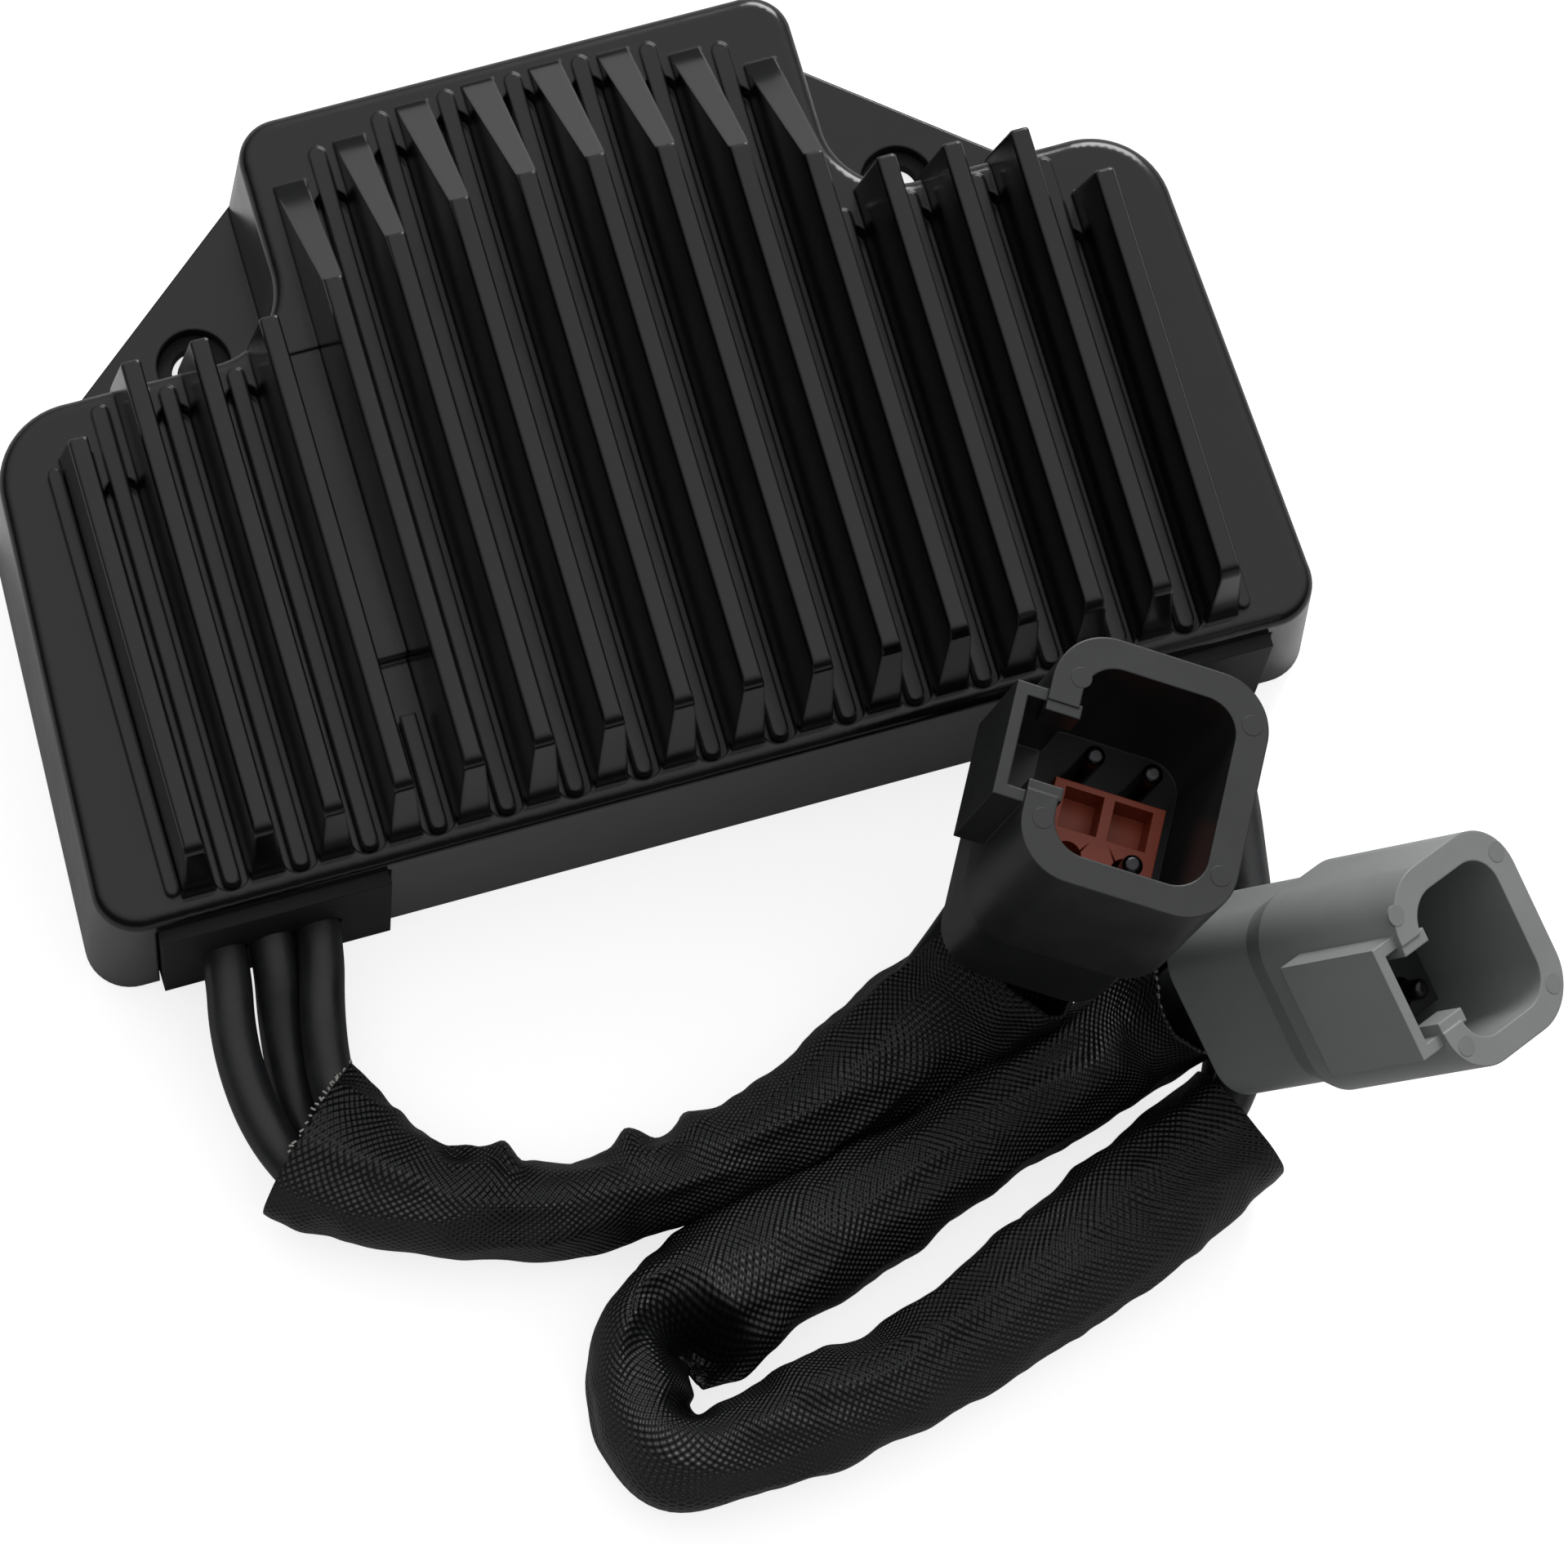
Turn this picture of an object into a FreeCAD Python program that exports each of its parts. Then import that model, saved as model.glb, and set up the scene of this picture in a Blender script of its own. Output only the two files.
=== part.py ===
"""Finned voltage regulator rectifier with a three-wire stator lead and a two-wire output lead.

The part lies on its back face with the fins up. X runs across the fins, the narrow end is
towards +Y, and the two leads leave the front wall towards -Y. The frame's origin is on the floor
under the middle of the housing.
"""
import FreeCAD, Part
import math
import os

Vector = FreeCAD.Vector

# Driving sizes in millimetres: name, value, what it is
SIZES = [
    ("wall_height", 32.0, "floor to deck"),
    ("deck_plate", 7.0, "thickness of the deck over the cavity"),
    ("wall_thickness", 4.0, "side walls round the cavity"),
    ("draft", 1.7, "how far the walls lean in over their height"),
    ("front_draft", 0.3, "the same for the front wall"),
    ("front_margin", 12.4, "outermost fin to the rim, at the front corners"),
    ("back_margin", 8.6, "outermost fin to the rim, at the back of the wide part"),
    ("narrow_margin", 3.5, "outermost long fin to the rim of the narrow part"),
    ("front_line", -54.9, "Y of the front rim"),
    ("wide_back_line", 22.3, "Y of the back rim of the wide part"),
    ("narrow_back_line", 55.5, "Y of the back rim of the narrow part"),
    ("front_corner", 6.5, "plan radius of the front corners"),
    ("wide_corner", 11.8, "plan radius of the back corners of the wide part"),
    ("narrow_corner", 6.0, "plan radius of the corners of the narrow part"),
    ("neck_radius", 11.0, "concave radius where the wide part meets the narrow part"),
    ("cavity_corner", 0.6, "plan radii of the cavity as a share of the outside ones"),
    ("rim_round", 2.0, "round on the edge of the deck"),
    ("fin_pitch", 10.0, "fin to fin"),
    ("fin_crest", 2.9, "thickness of a fin at its crest"),
    ("fin_root", 4.8, "thickness of a fin at deck level"),
    ("crest_round", 0.6, "round on both sides of the crest of a fin"),
    ("tip_round", 0.5, "round on the back end of a short fin"),
    ("front_ledge", 2.6, "front rim to the feet of the fins"),
    ("fin_lean", 1.6, "how far the front face of a fin leans back"),
    ("nose_round", 1.8, "round from the front face of a fin to its crest"),
    ("root_depth", 0.5, "how far fins and low ribs are sunk into the metal under them"),
    ("groove_depth", 3.5, "depth of the channels between the fins"),
    ("channel_lead", 0.7, "how far the channels begin in front of the fins"),
    ("wide_channel_stop", 5.0, "end of a channel before the foot of the fins beside it, wide part"),
    ("narrow_channel_stop", 2.5, "the same in the narrow part"),
    ("rib_width", 2.4, "low rib in the middle of each channel"),
    ("rib_rise", 0.3, "top of the low rib over the deck"),
    ("rib_reach", 2.4, "how much nearer a low rib ends to the foot of the longer fin beside it"),
    ("rib_setback", 0.9, "gap between the front of a channel and its rib"),
    ("pad_depth", 0.6, "depth of the filled channel on one side of the middle"),
    ("pad_stop", 1.7, "end of the filled channel before the back rim"),
    ("pocket_start", 17.3, "feet of the fins to the cross pocket"),
    ("pocket_length", 9.0, "length of the cross pocket"),
    ("edge_rib_width", 2.0, "low rib outside the outermost fins"),
    ("edge_rib_height", 1.4, "its height over the deck"),
    ("edge_rib_gap", 3.5, "its distance from the middle of the outermost fin"),
    ("edge_rib_setback", 0.6, "front of that rib behind the feet of the fins"),
    ("edge_rib_stop", 9.6, "back of that rib before the back rim"),
    ("ear_thickness", 5.0, "mounting ears"),
    ("ear_setback", 2.6, "edge of an ear leaves the narrow part before its back rim"),
    ("ear_slope", 1.24, "widening of the ears per millimetre of Y"),
    ("ear_margin", 10.1, "middle of a mounting hole to the slanting edge of its ear"),
    ("ear_root", 6.2, "how far the ears reach into the walls"),
    ("hole_spacing", 106.6, "between the two mounting holes"),
    ("hole_line", 30.9, "Y of the mounting holes"),
    ("hole_diameter", 10.8, "mounting hole in the ear"),
    ("bush_bore", 6.6, "bolt clearance for M6"),
    ("bush_recess", 2.6, "top of the bush below the ear"),
    ("notch_inner", 48.0, "inner side of a cable notch from the middle"),
    ("notch_outer", 82.0, "outer side of a cable notch from the middle"),
    ("notch_height", 27.9, "height of a cable notch"),
    ("gland_gap", 0.3, "clearance of a gland in its notch"),
    ("gland_proud", 2.0, "how far a gland stands out of the front wall"),
    ("gland_flange", 2.5, "flange of a gland behind the wall"),
    ("gland_flange_lap", 2.0, "how far that flange laps the wall"),
    ("potting_recess", 1.0, "potting below the floor edge of the walls"),
    ("cable_diameter", 6.6, "insulated lead"),
    ("cable_height", 14.0, "height of the leads in the glands"),
    ("sleeve_outer", 16.0, "woven sleeve"),
    ("sleeve_wall", 0.6, "thickness of the woven sleeve"),
    ("board_thickness", 1.6, "circuit board"),
    ("board_side_gap", 7.0, "board to the side walls"),
    ("board_front_gap", 1.0, "board to the flanges of the glands"),
    ("board_back_gap", 4.0, "board to the back wall of the wide part"),
    ("board_device_gap", 0.8, "board to the power devices over it"),
    ("device_width", 16.0, "power device"),
    ("device_length", 20.0, "power device"),
    ("device_thickness", 4.6, "power device"),
    ("device_pitch", 23.0, "power device to power device"),
    ("device_line", -14.0, "Y of the middle of the power devices"),
    ("chip_width", 12.0, "control chip"),
    ("chip_thickness", 2.2, "control chip"),
    ("capacitor_diameter", 12.5, "smoothing capacitor"),
    ("capacitor_length", 14.0, "smoothing capacitor"),
    ("capacitor_place", 38.0, "X of the smoothing capacitor"),
    ("terminal_width", 4.0, "solder terminal under the board"),
    ("terminal_length", 6.0, "solder terminal under the board"),
    ("terminal_overlap", 2.0, "how far a terminal reaches below the middle of its lead"),
    ("stator_face_across", 31.2, "face of the stator connector, latch side to side"),
    ("stator_face_tall", 36.4, "face of the stator connector, the other way"),
    ("stator_socket_across", 22.2, "its socket"),
    ("stator_socket_tall", 28.0, "its socket"),
    ("stator_length", 49.0, "length of the stator connector"),
    ("stator_rear_across", 26.0, "its rear part"),
    ("stator_rear_tall", 31.0, "its rear part"),
    ("output_face_across", 25.0, "face of the output connector, latch side to side"),
    ("output_face_tall", 30.0, "face of the output connector, the other way"),
    ("output_socket_across", 17.0, "its socket"),
    ("output_socket_tall", 22.4, "its socket"),
    ("output_length", 50.0, "length of the output connector"),
    ("output_rear_across", 20.6, "its rear part"),
    ("output_rear_tall", 27.0, "its rear part"),
    ("front_part_length", 28.0, "wider front part of either connector"),
    ("shoulder_length", 5.0, "slope from the front part to the rear part"),
    ("shell_corner", 8.0, "corner radius of a connector's face"),
    ("socket_corner", 5.0, "corner radius of its socket"),
    ("socket_depth", 26.5, "face to floor of the socket"),
    ("latch_proud", 4.4, "latch box beyond the side of the shell"),
    ("latch_half", 8.5, "half of the latch box's width"),
    ("latch_length", 20.0, "length of the latch box"),
    ("latch_setback", 1.0, "front of the latch box behind the face"),
    ("latch_wall", 1.8, "wall of the latch box"),
    ("latch_overlap", 1.0, "how far the latch gap cuts into the socket"),
    ("catch_gap", 5.2, "catch to the middle of the latch gap"),
    ("catch_reach", 5.0, "how far the catches reach in from the latch side"),
    ("catch_thickness", 2.0, "thickness of a catch"),
    ("catch_length", 5.0, "length of a catch along the connector"),
    ("catch_setback", 0.2, "front of a catch behind the face"),
    ("pin_diameter", 3.0, "contact pin"),
    ("pin_tip", 14.0, "tip of a pin below the face"),
    ("pin_tip_round", 0.9, "round on the tip of a pin"),
    ("pin_tail", 3.0, "pin behind the socket's floor"),
    ("pin_row", 13.8, "pin rows of the stator connector"),
    ("pin_column", 8.5, "pin columns of the stator connector and rows of the output one"),
    ("wedge_top", 18.5, "front of the locking wedge below the face"),
    ("wedge_side_gap", 3.0, "from the wedge to the socket's walls"),
    ("wedge_hole", 4.2, "hole in the wedge round a pin"),
    ("wedge_bar", 0.8, "half of the bar between the wedge's windows"),
    ("window_width", 5.6, "windows in the wedge"),
    ("window_height", 6.0, "windows in the wedge"),
    ("window_depth", 4.5, "windows in the wedge"),
    ("seal_depth", 7.0, "rubber seal in the rear of a connector"),
    ("seal_inset", 2.6, "wall round the rear seal"),
]

# Fins from the outermost to the middle one, the same on both sides: height over the deck, foot of
# its back end from the back rim of the wide part or, for the long ones, of the narrow part, and
# how far its crest stops before that foot
OUTER_FINS = 4
FINS = [
    (18.0, -7.9, 3.2),
    (18.4, 0.7, 3.0),
    (19.6, 0.9, 3.0),
    (22.6, 0.9, 3.3),
    (24.8, -10.2, 23.1),
    (26.0, -5.9, 23.9),
    (26.5, -3.2, 24.1),
    (27.0, -2.5, 23.8),
]
for order, (height, foot, run) in enumerate(FINS, start=1):
    SIZES.append((f"fin_height_{order}", height, "height of a fin over the deck"))
    SIZES.append((f"fin_foot_{order}", foot, "foot of its back end from the back rim"))
    SIZES.append((f"fin_run_{order}", run, "its sloping back end"))

# Middle of each connector's face, the way it looks, and the way that runs across its latch side
STATOR_FACE = Vector(50.2, -82.0, 78.0)
STATOR_AXIS = Vector(0.2215, 0.009, 0.9751)
STATOR_ACROSS = Vector(0.8453, -0.5004, -0.1874)
OUTPUT_FACE = Vector(89.4, -114.5, 65.0)
OUTPUT_AXIS = Vector(0.5322, -0.2209, 0.8173)
OUTPUT_ACROSS = Vector(0.8209, 0.3709, -0.4343)

# Routes of the five leads, from inside the housing into the seals of their connectors
STATOR_LEADS = [
    [(-72.5, -46, 14), (-72.5, -57.5, 14), (-74.0, -70.5, 12.6), (-72.6, -83.5, 10.7),
     (-67.0, -93.4, 10.1), (-58.9, -98.7, 10.1), (-43.9, -104.8, 10.1), (-24.8, -107.1, 10.1),
     (-4.9, -102.8, 10.1), (13.3, -95.7, 10.1), (22.9, -91.5, 10.7), (31.0, -88.3, 14.6),
     (38.0, -90.6, 23.4), (40.5, -90.5, 34.1)],
    [(-65.6, -46, 14), (-65.6, -57.5, 14), (-68.0, -70.0, 8.9), (-68.6, -82.5, 4.9),
     (-64.6, -91.2, 4.2), (-57.5, -95.6, 4.2), (-43.0, -101.5, 4.2), (-25.0, -103.6, 4.2),
     (-6.0, -99.6, 4.2), (12.0, -92.6, 4.2), (21.7, -88.3, 4.8), (32.5, -84.0, 9.4),
     (44.7, -78.7, 21.8), (47.2, -78.6, 32.5)],
    [(-58.7, -46, 14), (-58.7, -57.5, 14), (-61.6, -70.5, 12.8), (-62.6, -81.0, 11.0),
     (-60.7, -88.5, 10.1), (-56.3, -92.5, 10.1), (-42.2, -98.3, 10.1), (-25.2, -100.1, 10.1),
     (-7.1, -96.3, 10.1), (10.6, -89.4, 10.1), (20.2, -85.1, 10.7), (28.2, -81.7, 14.7),
     (37.5, -74.4, 23.4), (40.0, -74.3, 34.1)],
]
OUTPUT_LEADS = [
    [(73.0, -46, 14), (73.0, -57.5, 14), (75.0, -71.5, 12.8), (73.0, -85.0, 11.6),
     (68.8, -97.5, 11.5), (63.8, -109.6, 11.5), (54.5, -120.4, 11.5), (38.0, -127.6, 11.5),
     (20.0, -134.0, 11.5), (2.0, -139.0, 11.5), (-14.0, -141.9, 11.5), (-33.5, -143.6, 11.5),
     (-34.5, -122.4, 11.5), (-16.0, -121.2, 11.5), (4.0, -116.2, 11.5), (23.0, -110.8, 11.5),
     (38.0, -106.2, 11.5), (46.8, -102.9, 13.4), (57.6, -97.8, 19.1), (64.0, -100.5, 29.0)],
    [(63.0, -46, 14), (63.0, -57.5, 14), (65.4, -71.0, 9.0), (66.4, -84.5, 5.0),
     (65.2, -96.5, 4.7), (61.6, -108.6, 4.7), (54.5, -120.4, 4.7), (38.0, -127.6, 4.7),
     (20.0, -134.0, 4.7), (2.0, -139.0, 4.7), (-14.0, -141.9, 4.7), (-33.5, -143.6, 4.7),
     (-34.5, -122.4, 4.7), (-16.0, -121.2, 4.7), (4.0, -116.2, 4.7), (23.0, -110.8, 4.7),
     (38.0, -106.2, 4.7), (50.2, -103.0, 5.6), (59.4, -105.5, 15.9), (65.8, -108.2, 25.8)],
]
STATOR_SLEEVE = [(-54.5, -96.8, 8.1), (-43.0, -101.5, 8.1), (-25.0, -103.6, 8.1), (-6.0, -99.6, 8.1),
                 (12.0, -92.6, 8.1), (21.5, -88.3, 8.7), (27.8, -85.7, 11.8)]
OUTPUT_SLEEVE = [(49.5, -122.6, 8.1), (38.0, -127.6, 8.1), (20.0, -134.0, 8.1), (2.0, -139.0, 8.1),
                 (-14.0, -141.9, 8.1), (-33.5, -143.6, 8.1), (-34.5, -122.4, 8.1), (-16.0, -121.2, 8.1),
                 (4.0, -116.2, 8.1), (23.0, -110.8, 8.1), (38.0, -106.2, 8.1), (48.1, -102.9, 9.6),
                 (54.0, -102.2, 14.1)]
ARC_SHARE = 0.45

doc = FreeCAD.newDocument("voltage_regulator_rectifier")
sheet = doc.addObject("Spreadsheet::Sheet", "sizes")
for row, (alias, value, meaning) in enumerate(SIZES, start=1):
    sheet.set(f"A{row}", alias)
    sheet.set(f"B{row}", str(value))
    sheet.set(f"C{row}", meaning)
    sheet.setAlias(f"B{row}", alias)
doc.recompute()

SUB_PARTS = []


def size(alias):
    """A driving size from the sheet."""
    return float(sheet.get(alias))


def keep(piece, label):
    """Names a finished sub-part, which then gets a file of its own."""
    piece.Label = label
    SUB_PARTS.append(piece)
    return piece


def shaped(label, shape, placement=None):
    """A sub-part whose form Part's own functions made."""
    piece = doc.addObject("Part::Feature", label)
    piece.Shape = shape
    if placement:
        piece.Placement = placement
    return keep(piece, label)


def bound(kind, name, **expressions):
    """A Part primitive whose properties follow the sheet."""
    piece = doc.addObject(kind, name)
    for prop, expression in expressions.items():
        piece.setExpression(prop.replace("__", "."), expression)
    return piece


def block(x_low, x_high, y_low, y_high, z_low, z_high):
    """A plain box from its limits."""
    return Part.makeBox(x_high - x_low, y_high - y_low, z_high - z_low, Vector(x_low, y_low, z_low))


def rounded_outline(corners, level):
    """A closed wire through the corners, each with its own plan radius, at one level."""
    arcs = []
    count = len(corners)
    for index, (x, y, radius) in enumerate(corners):
        here = Vector(x, y, level)
        before = Vector(corners[index - 1][0], corners[index - 1][1], level)
        after = Vector(corners[(index + 1) % count][0], corners[(index + 1) % count][1], level)
        back = (before - here).normalize()
        ahead = (after - here).normalize()
        half = back.getAngle(ahead) / 2
        reach = radius / math.tan(half)
        middle = here + (back + ahead).normalize() * (radius / math.sin(half) - radius)
        arcs.append((here + back * reach, middle, here + ahead * reach))
    edges = []
    for index, (start, middle, end) in enumerate(arcs):
        edges.append(Part.Arc(start, middle, end).toShape())
        edges.append(Part.LineSegment(end, arcs[(index + 1) % count][0]).toShape())
    return Part.Wire(edges)


def fin_place(number):
    """X of a fin, counted from 1 at the left."""
    return (number - len(FINS) - 0.5) * size("fin_pitch")


def fin_order(number):
    """Fins are alike in pairs about the middle: 1 is the outermost pair."""
    return min(number, 2 * len(FINS) + 1 - number)


def fin_foot(number):
    """Y where the back end of a fin meets the deck."""
    order = fin_order(number)
    rim = "wide_back_line" if order <= OUTER_FINS else "narrow_back_line"
    return size(rim) + size(f"fin_foot_{order}")


def fin_front():
    """Y of the feet of the front faces of the fins."""
    return size("front_line") + size("front_ledge")


def rim_half(margin, number):
    """Half the width of the deck at a rim that lies a margin outside a fin."""
    return abs(fin_place(number)) + size("fin_root") / 2 + size(margin)


def body_outline(level, wall=0.0):
    """The hat-shaped outline of the housing at a level, or of the cavity inside its wall."""
    share = 1 - level / size("wall_height")
    grow = size("draft") * share - wall
    front_half = rim_half("front_margin", 1) + grow
    back_half = rim_half("back_margin", 1) + grow
    narrow_half = rim_half("narrow_margin", OUTER_FINS + 1) + grow
    front = size("front_line") - size("front_draft") * share + wall
    wide_back = size("wide_back_line") + grow
    narrow_back = size("narrow_back_line") + grow
    scale = size("cavity_corner") if wall else 1.0
    right = [
        (front_half, front, size("front_corner") * scale),
        (back_half, wide_back, size("wide_corner") * scale),
        (narrow_half, wide_back, size("neck_radius")),
        (narrow_half, narrow_back, size("narrow_corner") * scale),
    ]
    left = [(-x, y, radius) for x, y, radius in reversed(right)]
    return rounded_outline(right + left, level)


def bar_along_y(x, half, y_low, y_high, z_low, z_high, round_back=True):
    """A straight bar with a round front end, and a round or square back end."""
    start = y_low + half
    end = y_high - half if round_back else y_high
    bar = block(x - half, x + half, start, end, z_low, z_high)
    bar = bar.fuse(Part.makeCylinder(half, z_high - z_low, Vector(x, start, z_low)))
    if round_back:
        bar = bar.fuse(Part.makeCylinder(half, z_high - z_low, Vector(x, end, z_low)))
    return bar.removeSplitter()


def fin(number):
    """One fin: a tapered section with a rounded crest, cut to its side outline."""
    order = fin_order(number)
    x = fin_place(number)
    deck = size("wall_height")
    height = size(f"fin_height_{order}")
    top = deck + height
    low = deck - size("groove_depth") - size("root_depth")
    half_crest = size("fin_crest") / 2
    slope = (size("fin_root") / 2 - half_crest) / height
    half_low = half_crest + slope * (top - low)
    start = fin_front()
    foot = fin_foot(number)
    crest_end = foot - size(f"fin_run_{order}")
    crest_round = size("crest_round")
    shoulder = top - crest_round
    flat = half_crest - crest_round
    drop = crest_round * (1 - math.sqrt(0.5))
    left_low = Vector(x - half_low, start, low)
    right_low = Vector(x + half_low, start, low)
    right_side = Vector(x + half_crest, start, shoulder)
    right_middle = Vector(x + half_crest - drop, start, top - drop)
    right_top = Vector(x + flat, start, top)
    left_top = Vector(x - flat, start, top)
    left_middle = Vector(x - half_crest + drop, start, top - drop)
    left_side = Vector(x - half_crest, start, shoulder)
    section = Part.Wire([
        Part.LineSegment(left_low, right_low).toShape(),
        Part.LineSegment(right_low, right_side).toShape(),
        Part.Arc(right_side, right_middle, right_top).toShape(),
        Part.LineSegment(right_top, left_top).toShape(),
        Part.Arc(left_top, left_middle, left_side).toShape(),
        Part.LineSegment(left_side, left_low).toShape(),
    ])
    bar = Part.Face(section).extrude(Vector(0, foot - start, 0))
    nose = size("nose_round")
    lean = size("fin_lean")
    side = x - half_low
    front_low = Vector(side, start, low)
    front_foot = Vector(side, start, deck)
    nose_low = Vector(side, start + lean * (1 - nose / height), top - nose)
    nose_high = Vector(side, start + lean + nose, top)
    bulge = nose * (1 - math.sqrt(0.5))
    nose_middle = Vector(side, start + lean + bulge, top - bulge)
    back_high = Vector(side, crest_end, top)
    back_foot = Vector(side, foot, deck)
    back_low = Vector(side, foot, low)
    outline = Part.Wire([
        Part.LineSegment(front_low, front_foot).toShape(),
        Part.LineSegment(front_foot, nose_low).toShape(),
        Part.Arc(nose_low, nose_middle, nose_high).toShape(),
        Part.LineSegment(nose_high, back_high).toShape(),
        Part.LineSegment(back_high, back_foot).toShape(),
        Part.LineSegment(back_foot, back_low).toShape(),
        Part.LineSegment(back_low, front_low).toShape(),
    ])
    bar = bar.common(Part.Face(outline).extrude(Vector(2 * half_low, 0, 0)))
    if order > OUTER_FINS:
        return bar
    lean_back = (foot - crest_end) / height
    ends = [edge for edge in bar.Edges
            if all(v.Z > deck - 1e-6 and abs(foot - lean_back * (v.Z - deck) - v.Y) < 1e-6 for v in edge.Vertexes)
            and edge.BoundBox.ZMax > deck + 1e-6]
    return bar.makeFillet(min(size("tip_round"), 0.9 * crest_round), ends)


def solid_housing():
    """The drafted walls and deck with their rounded rim, and the two mounting ears."""
    height = size("wall_height")
    casting = Part.makeLoft([body_outline(0.0), body_outline(height)], True, True)
    rim = [edge for edge in casting.Edges if all(abs(v.Z - height) < 1e-6 for v in edge.Vertexes)]
    casting = casting.makeFillet(size("rim_round"), rim)
    narrow_half = rim_half("narrow_margin", OUTER_FINS + 1)
    back = size("narrow_back_line") - size("ear_setback")
    front = size("wide_back_line") - size("ear_root")
    inner = narrow_half - size("ear_root")
    slope = size("ear_slope")
    beside_hole = size("hole_spacing") / 2 + size("ear_margin") * math.hypot(1, slope)
    outer_back = beside_hole - (back - size("hole_line")) * slope
    outer_front = beside_hole + (size("hole_line") - front) * slope
    for side in (-1, 1):
        corners = [(inner, back), (outer_back, back), (outer_front, front), (inner, front), (inner, back)]
        edge = Part.makePolygon([Vector(side * x, y, 0) for x, y in corners])
        casting = casting.fuse(Part.Face(edge).extrude(Vector(0, 0, size("ear_thickness"))))
    return casting


def cavity_space():
    """The tray under the deck, open at the floor."""
    ceiling = size("wall_height") - size("deck_plate")
    wall = size("wall_thickness")
    return Part.makeLoft([body_outline(0.0, wall), body_outline(ceiling, wall)], True, True)


def cut_channels(casting):
    """The channels between the fins with a low rib in each, and the one filled channel."""
    deck = size("wall_height")
    above = deck + 1
    floor = deck - size("groove_depth")
    half = (size("fin_pitch") - size("fin_root")) / 2
    rib_half = size("rib_width") / 2
    rib_top = deck + size("rib_rise")
    rib_low = floor - size("root_depth")
    front = fin_front() - size("channel_lead")
    rib_front = front + size("rib_setback")
    pocket_front = fin_front() + size("pocket_start")
    pocket_back = pocket_front + size("pocket_length")
    for number in range(1, 2 * len(FINS)):
        x = fin_place(number) + size("fin_pitch") / 2
        orders = sorted((fin_order(number), fin_order(number + 1)))
        feet = sorted((fin_foot(number), fin_foot(number + 1)))
        stop = size("wide_channel_stop") if orders[0] <= OUTER_FINS else size("narrow_channel_stop")
        back = feet[0] - stop
        at_neck = orders[0] <= OUTER_FINS < orders[1]
        rib_back = feet[0 if at_neck else 1] - stop + size("rib_reach")
        filled = number == OUTER_FINS
        if filled:
            back = pocket_front
            rib_back = pocket_front
        casting = casting.cut(bar_along_y(x, half, front, back, floor, above, not filled))
        casting = casting.fuse(bar_along_y(x, rib_half, rib_front, rib_back, rib_low, rib_top, not filled))
        if filled:
            pad_back = size("wide_back_line") - size("pad_stop")
            casting = casting.cut(block(x - half, x + half, pocket_front, pocket_back, floor, above))
            pad_low = deck - size("pad_depth")
            casting = casting.cut(block(x - half, x + half, pocket_back, pad_back, pad_low, above))
    return casting


def housing_casting(cavity):
    """The whole casting: housing, channels, low ribs, fins, cable notches and mounting holes."""
    deck = size("wall_height")
    casting = cut_channels(solid_housing().cut(cavity))
    rib_half = size("edge_rib_width") / 2
    rib_front = fin_front() + size("edge_rib_setback")
    rib_back = size("wide_back_line") - size("edge_rib_stop")
    rib_low = deck - size("root_depth")
    rib_top = deck + size("edge_rib_height")
    for side in (-1, 1):
        x = side * (fin_place(2 * len(FINS)) + size("edge_rib_gap"))
        casting = casting.fuse(bar_along_y(x, rib_half, rib_front, rib_back, rib_low, rib_top))
    casting = casting.multiFuse([fin(number) for number in range(1, 2 * len(FINS) + 1)])
    front = size("front_line")
    wall = size("wall_thickness")
    for side in (-1, 1):
        low, high = sorted((side * size("notch_inner"), side * size("notch_outer")))
        casting = casting.cut(block(low, high, front - wall, front + wall, -1, size("notch_height")))
        foot = Vector(side * size("hole_spacing") / 2, size("hole_line"), -1)
        casting = casting.cut(Part.makeCylinder(size("hole_diameter") / 2, size("ear_thickness") + 2, foot))
    return casting.removeSplitter()


def gland(side, leads, cavity):
    """A rubber gland that fills a notch of the front wall, with a flange against the wall's inside."""
    gap = size("gland_gap")
    front = size("front_line") - size("gland_proud")
    behind = size("front_line") + size("wall_thickness")
    lap = size("gland_flange_lap")
    ceiling = size("wall_height") - size("deck_plate")
    low, high = sorted((side * (size("notch_inner") + gap), side * (size("notch_outer") - gap)))
    plug = block(low, high, front, behind, 0, size("notch_height") - gap)
    flange = block(low - lap, high + lap, front, behind + size("gland_flange"),
                   size("potting_recess"), ceiling - gap)
    plug = plug.fuse(flange.common(cavity)).removeSplitter()
    for lead in leads:
        plug = plug.cut(lead)
    return plug


def route_wire(points):
    """Straight runs joined by tangent arcs, each as large as its two runs allow, and their radii."""
    corners = [Vector(*point) for point in points]
    edges = []
    radii = []
    start = corners[0]
    for before, here, after in zip(corners, corners[1:], corners[2:]):
        back = (before - here).normalize()
        ahead = (after - here).normalize()
        half = back.getAngle(ahead) / 2
        reach = ARC_SHARE * min(before.distanceToPoint(here), here.distanceToPoint(after))
        radius = reach * math.tan(half)
        middle = here + (back + ahead).normalize() * (radius / math.sin(half) - radius)
        edges.append(Part.LineSegment(start, here + back * reach).toShape())
        edges.append(Part.Arc(here + back * reach, middle, here + ahead * reach).toShape())
        start = here + ahead * reach
        radii.append(round(radius, 1))
    edges.append(Part.LineSegment(start, corners[-1]).toShape())
    return Part.Wire(edges), radii


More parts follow.
